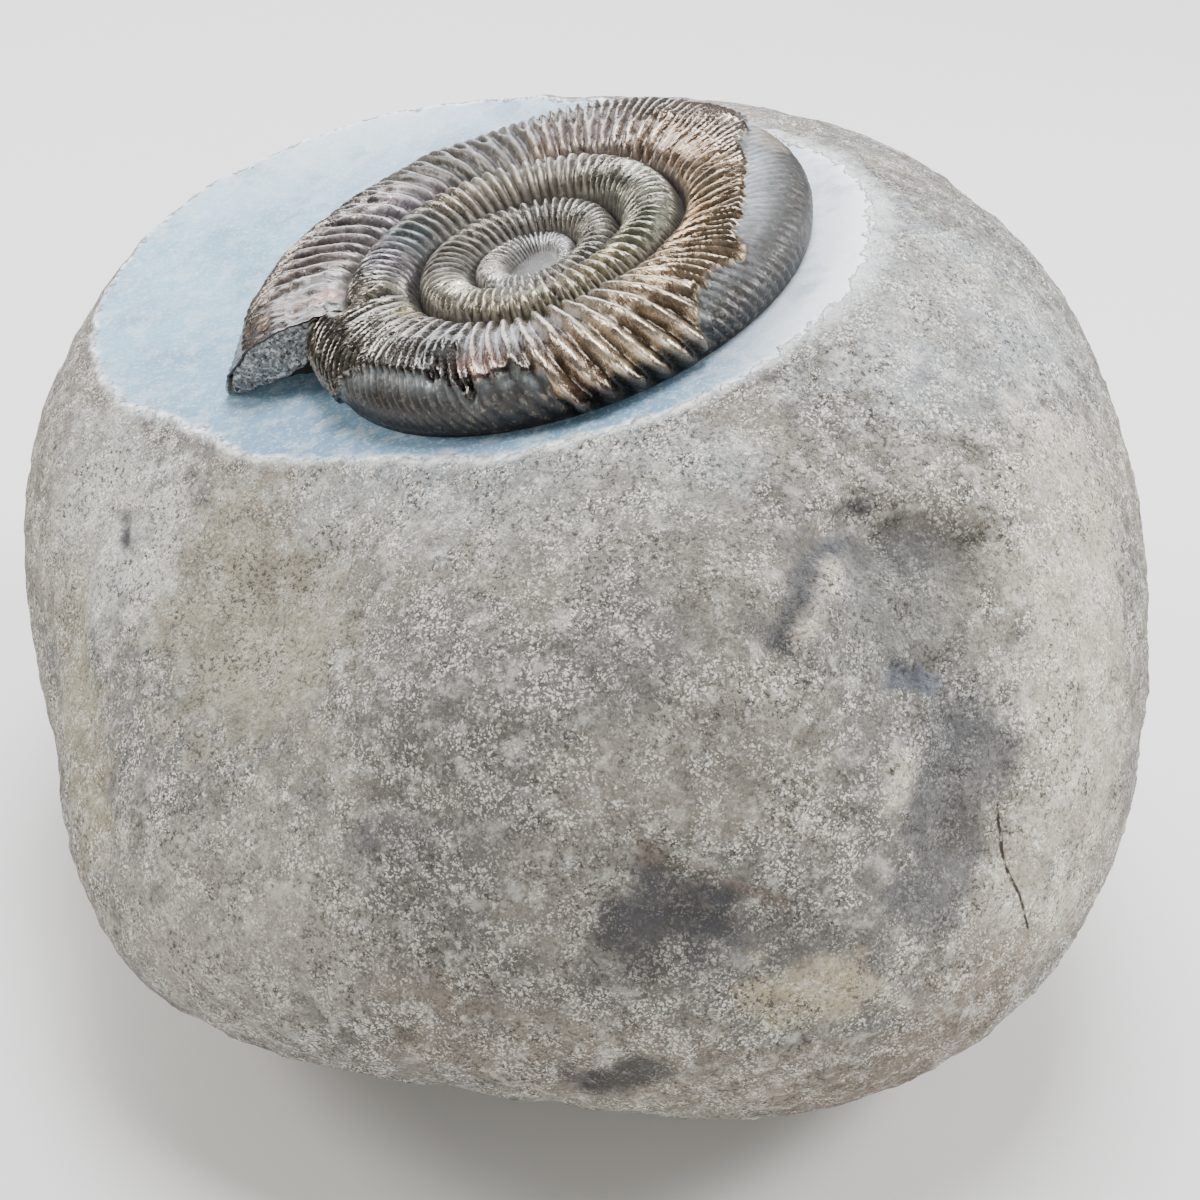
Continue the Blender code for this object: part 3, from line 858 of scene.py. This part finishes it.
def innerFlank(row, across):
    back = row * turn / rowsPerTurn
    outer = seamRadius(back - turn)
    taper = clamp(1 - (coil["turns"] - back / turn) / coil["taperTurns"])
    inner = mix(seamRadius(back), outer, taper)
    radius = mix(inner, outer, across)
    width = outer - inner
    low = seamHeight(back, inner)
    high = seamHeight(max(0, back - turn), outer)
    relief = shellRelief(back, across) * ease(0, 0.16, across)
    rise = math.sin(across * math.pi / 2) ** coil["lastFullness"] if across > 0 else 0.0
    swell = math.sin(across * math.pi) ** coil["innerFullness"] if 0 < across < 1 else 0.0
    free = mix(low, coil["crest"], rise) + relief
    covered = mix(low, high, across) + swell * coil["innerSwell"] * width
    fading = (width / ribs["innerWidth"]) ** ribs["innerFading"]
    fading *= ease(0, ribs["endWidth"], width) * ease(0, 0.12, 1 - across)
    covered += relief * fading
    covered -= seamDip(back - turn, outer, (1 - across) * width)
    height = mix(free, covered, coveredShare(back)) - seamDip(back, inner, across * width)
    flat = 1 - ease(*coil["patch"], radius)
    height = mix(height, coil["patchHeight"], flat)
    return coilPoint(back, radius, height)


def outerFlank(row, down):
    back = row * turn / rowsPerTurn
    crest = seamRadius(back - turn)
    across = 1 + (math.pi / 2 - down) / (math.pi / 2)
    lowness = (1 - math.sin(down)) / (1 - math.sin(coil["foot"]))
    flare = coil["lipFlare"] * lowness**2 * math.exp(-back / coil["lipFlareFade"])
    relief = shellRelief(back, across) * ease(2.44, 2.15, across)
    radius = crest + (coil["lastWidth"] * crest + relief) * math.cos(down) + flare
    height = (coil["crest"] + relief) * math.sin(down)
    covered = seamHeight(max(0, back - turn), crest) - seamDip(back - turn, crest, 0)
    nearCrest = bell(math.pi / 2 - down, coil["coverReach"])
    height = mix(height, covered, nearCrest * coveredShare(back))
    back += coil["lipSlant"] * lowness * max(0, 1 - back / coil["lipSlantReach"])
    return coilPoint(back, radius, height)


def mouldTint(degrees, across, relief, wander):
    # the dark mould under the lost layer, with pale ribs beside the layer's edge whose crests are
    # partly painted light
    w = shellWearAndShading
    near = ease(0.42, 0.05, across - along(edgeStops, degrees))
    near *= mix(1, 0.25, ease(205, 225, degrees))
    mould = shellInk["mould"].lerp(shellInk["mouldFar"], ease(1.3, 1.9, across))
    # pale ribs, paler on their crests: the mould's own pale ribs, and painted light on the crests
    mould = mould.lerp(shellInk["mouldRib"], near * clamp(0.5 + 0.8 * relief))
    mould *= 1 + 0.5 * wander + 0.6 * drift(degrees * 0.9, across * 9, 2)
    mould *= mix(1, 1.5, ease(280, 295, degrees))
    tan = shellSpots["tan on the mould"]
    return mould.lerp(hexColour(tan[4]), 0.7 * spotWeight(degrees, across, tan))


def shellTint(degrees, across):
    # colour of the shell, with painted shade and light on its ribs, seams, recess and foot, and how
    # much of its gloss the place has
    # the recess behind the lip is painted near black as shade
    if across == coil["recessMark"]:
        return shellInk["paintedShade"], 0.0
    w = shellWearAndShading
    back = math.radians(degrees)
    wander = drift(degrees * 0.13, across * 2.2, 7)
    tint = along(innerTints, degrees).lerp(along(outerTints, degrees), ease(0.55, 1.35, across))
    tint *= w["depth"] * (1 + w["drift"] * wander)
    for spot in shellSpots.values():
        weight = spotWeight(degrees, across, spot) * spot[5]
        if weight:
            tint = tint.lerp(hexColour(spot[4]), weight)
    relief = ribRelief(back, across)
    gloss = along(glossStops, degrees)
    peel = peelAt(back, across)
    if peel:
        tint = tint.lerp(mouldTint(degrees, across, relief, wander), peel)
        gloss = mix(gloss, mix(*w["mouldGloss"], ease(225, 250, degrees)), peel)
        broken = w["broken"][degrees > w["brokenFrom"]] * (1 - abs(2 * peel - 1))
        tint = tint.lerp(shellInk["broken"], broken)
    else:
        # painted shade in the rib furrows and painted light on the ribs
        tint *= w["furrow"] + w["rib"] * clamp(relief + 0.5)
        # paler rib crests: wear, and a painted highlight
        tint = tint.lerp(shellInk["crestWearAndHighlight"], w["crestWearAndHighlight"] * ease(0.22, 0.5, relief))
    # painted shade in the grooves beside the seams, where the gloss is duller too
    width = (seamRadius(back - turn) - seamRadius(back)) / mm
    apart = clamp(across) * width
    if degrees > 360:
        apart = min(apart, clamp(1 - across) * width)
    if across < 1.001:
        paintedShade = math.exp(-((apart / (w["paintedShadeReach"] * width)) ** 1.5))
        share = mix(*w["paintedShade"], ease(400, 700, degrees))
        tint = tint.lerp(shellInk["paintedShade"], share * paintedShade)
        gloss *= 1 - 0.8 * paintedShade
    lowSide = ease(240, 255, degrees) * ease(290, 275, degrees)
    lowSide *= 1 - spotWeight(degrees, across, shellSpots["golden flake"])
    tint *= 1 - 0.8 * lowSide * ease(1.75, 1.98, across)
    # painted shade where the foot of the flank meets the bed
    foot = ease(2.1, 2.4, across) * (1 - spotWeight(degrees, across, shellSpots["pale foot tip"]))
    return tint.lerp(shellInk["paintedShade"], w["paintedFootShade"] * foot), gloss


def bedCorner(row):
    foot = outerFlank(row, coil["foot"])
    return Vector((foot.x, foot.y, -coil["bedDepth"]))


def addStrip(mesh, back, across, columns, rows, place):
    # a grid whose corners, and the values they carry, are put by place(column, row)
    grid = bmesh.ops.create_grid(mesh, x_segments=columns, y_segments=rows, size=1)
    for corner in grid["verts"]:
        column = round((corner.co.x + 1) / 2 * columns)
        row = round((corner.co.y + 1) / 2 * rows)
        corner.co, corner[back], corner[across] = place(column, row)


def openEdges(mesh):
    return [edge for edge in mesh.edges if edge.is_boundary]


def intoPlace(mesh):
    bmesh.ops.transform(mesh, matrix=shellPlace["turned"].to_4x4(), verts=mesh.verts)
    bmesh.ops.translate(mesh, verts=mesh.verts, vec=shellPlace["middle"])


def buildShell(material):
    mesh = bmesh.new()
    mesh.verts.layers.float.new("back")
    mesh.verts.layers.float.new("across")
    carried = mesh.verts.layers.float.values()
    rows = coil["turns"] * rowsPerTurn
    acrossSteps = ribs["acrossSteps"]
    flankSteps = ribs["flankSteps"]

    def placeInner(column, row):
        # the columns are closer together beside the seams
        share = column / acrossSteps
        across = share - coil["closeness"] * math.sin(turn * share) / turn
        point = innerFlank(row, across)
        return point, math.degrees(row * turn / rowsPerTurn), across

    def placeOuter(column, row):
        degrees = math.degrees(row * turn / rowsPerTurn)
        if column > flankSteps:
            return bedCorner(row), degrees, coil["bedAcross"]
        down = mix(math.pi / 2, coil["foot"], column / flankSteps)
        return outerFlank(row, down), degrees, 1 + (math.pi / 2 - down) / (math.pi / 2)

    addStrip(mesh, *carried, acrossSteps, rows, placeInner)
    addStrip(mesh, *carried, flankSteps + 1, rowsPerTurn, placeOuter)
    bmesh.ops.remove_doubles(mesh, verts=mesh.verts, dist=tiny)

    bossReach = seamRadius((coil["turns"] - coil["bossTurns"]) * turn)
    bossEdges = [e for e in openEdges(mesh) if e.verts[0].co.xy.length < bossReach]
    boss = bmesh.ops.contextual_create(mesh, geom=bossEdges)["faces"]
    bmesh.ops.poke(mesh, faces=boss)

    def nearest(place):
        return min(mesh.verts, key=lambda corner: (corner.co - place).length_squared)

    bmesh.ops.contextual_create(mesh, geom=[nearest(bedCorner(0)), nearest(bedCorner(rowsPerTurn))])
    under = [
        edge for edge in mesh.edges
        if not edge.is_manifold and all(v.co.z < tiny - coil["bedDepth"] for v in edge.verts)
    ]
    bmesh.ops.contextual_create(mesh, geom=under)
    bmesh.ops.contextual_create(mesh, geom=openEdges(mesh))
    bmesh.ops.recalc_face_normals(mesh, faces=mesh.faces)
    if mesh.calc_volume(signed=True) < 0:
        bmesh.ops.reverse_faces(mesh, faces=mesh.faces)
    mouth = max(mesh.faces, key=lambda face: len(face.verts) * abs(face.normal.y))
    bmesh.ops.inset_region(mesh, faces=[mouth], thickness=coil["lip"], depth=0.0,
                           use_even_offset=False)
    deeper = bmesh.ops.extrude_face_region(mesh, geom=[mouth])["geom"]
    bmesh.ops.delete(mesh, geom=[mouth], context="FACES_ONLY")
    moved = [item for item in deeper if isinstance(item, bmesh.types.BMVert)]
    middle = sum((corner.co for corner in moved), Vector()) / len(moved)
    narrower = [coil["recessNarrowing"]] * 3
    bmesh.ops.scale(mesh, verts=moved, vec=narrower, space=Matrix.Translation(-middle))
    bmesh.ops.translate(mesh, verts=moved, vec=(0, coil["recess"], 0))
    # marks the recess, which is painted near black as shade
    for corner in moved:
        corner[carried[1]] = coil["recessMark"]
    tints = [shellTint(*(corner[layer] for layer in carried)) for corner in mesh.verts]
    intoPlace(mesh)
    piece = addPiece("shell", mesh, material, coil["sharpDegrees"])
    writeValues(piece, "tint", [tint for tint, gloss in tints], "FLOAT_COLOR")
    writeValues(piece, "gloss", [gloss for tint, gloss in tints])
    return piece


shellNoise = {
    "blotches": (1.5, 4, 0.65, 0.36, 0.64, 0, 0.45), "scabs": (0.7, 3, 0.6),
    "glints": (0.45, 3, 0.7, 0.54, 0.66, 0, 0.15), "specks": (0.35, 2, 0.6, 0.4, 0.3, 0, 0.6),
    "roughness": (0.8, 3, 0.6, 0.35, 0.65, 0.53, 0.7),
}
shellFinish = {
    "blotches": "#2a211b", "glints": "#c2b7a4", "specks": "#1c1511",
    "metallic": 0.8, "coat": 0.5, "smoother": -0.38,  # with full gloss
    "growthLines": (3.2, 2.0, 0),  # to a degree back, and across the whorl
    "bump": {"growth": 0.07, "scabs": 0.08}, "bumpStrength": 0.8,
}


def shellMaterial():
    # pyritised calcite shell: dark bronze with a broken metallic gloss, dull in the furrows
    # and where only the smooth mould is left
    f = shellFinish
    material, add, shader, tint, gloss, back, across = startMaterial(
        "pyritised shell", tint="Color", gloss="Fac", back="Fac", across="Fac")
    share = mottle(add, add("TexCoord", output="Object"), shellNoise)
    colour = paint(add, tint, f, share, [(name, name) for name in ("blotches", "glints", "specks")])
    metallic = add("Math", [gloss, f["metallic"]], operation="MULTIPLY")
    coat = add("Math", [gloss, f["coat"]], operation="MULTIPLY")
    rough = add("Math", [gloss, f["smoother"], share["roughness"]], operation="MULTIPLY_ADD")
    # fine growth lines along the ribs
    lines = add("CombineXYZ", {"X": back, "Y": across})
    lines = add("VectorMath", [lines, f["growthLines"]], operation="MULTIPLY")
    share["growth"] = add("TexNoise", {"Vector": lines, "Scale": 1.0, "Detail": 3.0})
    bump = add("Bump", {"Height": raised(add, share, f["bump"]), "Strength": f["bumpStrength"],
                        "Distance": 1.0})
    setInputs(shader, {
        "Base Color": colour, "Metallic": metallic, "Roughness": rough, "IOR": 1.6,
        "Coat Weight": coat, "Coat Roughness": 0.07, "Normal": bump})
    return material


shell = buildShell(shellMaterial())
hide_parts("ammonite_shell")
print("ammonite built")


infill = {
    "alongSteps": 46, "acrossSteps": 30, "thickness": 0.0008, "sharpDegrees": 60,
    "down": (0.02, 0.98), "across": (0.07, 1.0),  # the part of the mouth that it fills
    "depth": 0.0004, "underFoot": 0.0023,
    "grain": (0.0009, 0.0003), "edgeFray": (0.0012, 0.0003),  # size and height
    "lowEdge": (-0.0019, 0.0006),  # height of its lower edge, outer and inner side
    "hole": (0.13, 0.90, 0.13, 0.0022),  # down the mouth, across it, half-width, depth
    "shade": (0.0006, 0.0016),  # depth where it darkens and is dark
    "colour": "#6b6e70", "pale": "#c9cdcf", "dark": "#201f1e",
    "noise": {"pale": (0.45, 4, 0.75, 0.49, 0.62), "grain": (0.4, 4, 0.7)},
    "pores": (0.48, 0.38),  # noise of the grain where a pore begins and is full
    "bump": {"grain": 0.35},
}
# shares of the way down the mouth's edge where the seam side and the whorl's flank end
seamSide, toFoot = 0.35, 0.85


def mouthCurve(row, share):
    # the whorl's cross-section from the seam over the crest to the foot and into the bed
    if row == 0:
        if share < seamSide:
            return innerFlank(0, share / seamSide)
        share = (share - seamSide) / (1 - seamSide)
    if share > toFoot:
        foot = outerFlank(row, coil["foot"])
        return foot.lerp(bedCorner(row), (share - toFoot) / (1 - toFoot))
    return outerFlank(row, mix(math.pi / 2, coil["foot"], share / toFoot))


def buildInfill(material):
    mesh = bmesh.new()
    shade = mesh.verts.layers.float.new("shade")
    columns, rows = infill["acrossSteps"], infill["alongSteps"]
    grid = bmesh.ops.create_grid(mesh, x_segments=columns, y_segments=rows, size=1)
    downHole, acrossHole, holeWidth, holeDepth = infill["hole"]
    size, height = infill["grain"]
    fraySize, fray = infill["edgeFray"]
    for corner in grid["verts"]:
        down = mix(*infill["down"], (corner.co.y + 1) / 2)
        across = mix(*infill["across"], (corner.co.x + 1) / 2)
        point = mouthCurve(0, down).lerp(mouthCurve(rowsPerTurn, down), across)
        edge = mix(*infill["lowEdge"], across) + fray * wave(point, fraySize, 2.0) - point.z
        depth = infill["depth"] + infill["underFoot"] * ease(0, 0.0005, edge)
        depth += holeDepth * bell(math.hypot(down - downHole, across - acrossHole), holeWidth)
        depth += height * (wave(point, size, 4.0) + wave(point, size * 0.45, 8.0))
        point.y += depth
        corner.co = point
        start, end = infill["shade"]
        corner[shade] = clamp((depth - start) / (end - start))
    bmesh.ops.solidify(mesh, geom=mesh.faces, thickness=infill["thickness"])
    bmesh.ops.recalc_face_normals(mesh, faces=mesh.faces)
    intoPlace(mesh)
    return addPiece("mouth_infill", mesh, material, infill["sharpDegrees"])


def infillMaterial():
    # granular calcite and mud that filled the living chamber: dull, grey, full of pores
    material, add, shader, shade = startMaterial("granular chamber infill", shade="Fac")
    share = mottle(add, add("TexCoord", output="Object"), infill["noise"])
    share.update(shade=shade, pores=add("MapRange", [share["grain"], *infill["pores"]], **soft))
    colour = paint(add, infill["colour"], infill, share, [
        ("pale", "pale"), ("dark", "pores"), ("dark", "shade")])
    bump = add("Bump", {"Height": raised(add, share, infill["bump"]), "Strength": 1.0,
                        "Distance": 1.0})
    setInputs(shader, {"Base Color": colour, "Roughness": 0.7, "Normal": bump})
    return material


mouthInfill = buildInfill(infillMaterial())
print("mouth infill built")


floorMaterial = startMaterial("pale studio floor")[0]
setInputs(floorMaterial.node_tree.nodes["Principled BSDF"],
          {"Base Color": "#d9d8d5", "Roughness": 0.9})
floorMesh = bmesh.new()
bmesh.ops.create_grid(floorMesh, x_segments=1, y_segments=1, size=3)
addObject("floor", floorMesh, floorMaterial)

world = bpy.data.worlds.new("studio")
bpy.context.scene.world = world
world.use_nodes = True
setInputs(world.node_tree.nodes["Background"], {"Color": "#dfe6ee", "Strength": 0.2})

# name: place, size, watts, colour
lights = {
    "overhead": ((0.03, 0.06, 0.60), 0.26, 6.0, "#f8f9ff"),
    "back": ((-0.12, 0.60, 0.42), 0.60, 7.5, "#f2f6ff"),
    "left": ((-0.50, 0.08, 0.34), 0.20, 3.0, "#fffaf2"),
    "right": ((0.50, 0.04, 0.34), 0.20, 5.0, "#ffffff"),
    "front": ((0.10, -0.60, 0.22), 0.30, 2.6, "#fffcf6"),
}
lightsAim = Vector((0, 0, 0.04))
for name, (place, size, watts, colour) in lights.items():
    lamp = bpy.data.objects.new(name, bpy.data.lights.new(name, "AREA"))
    lamp.data.size = size
    lamp.data.energy = watts
    lamp.data.color = hexColour(colour)
    lamp.location = place
    lamp.rotation_euler = (lightsAim - Vector(place)).to_track_quat("-Z", "Y").to_euler()
    bpy.context.collection.objects.link(lamp)
print("floor and lights placed")
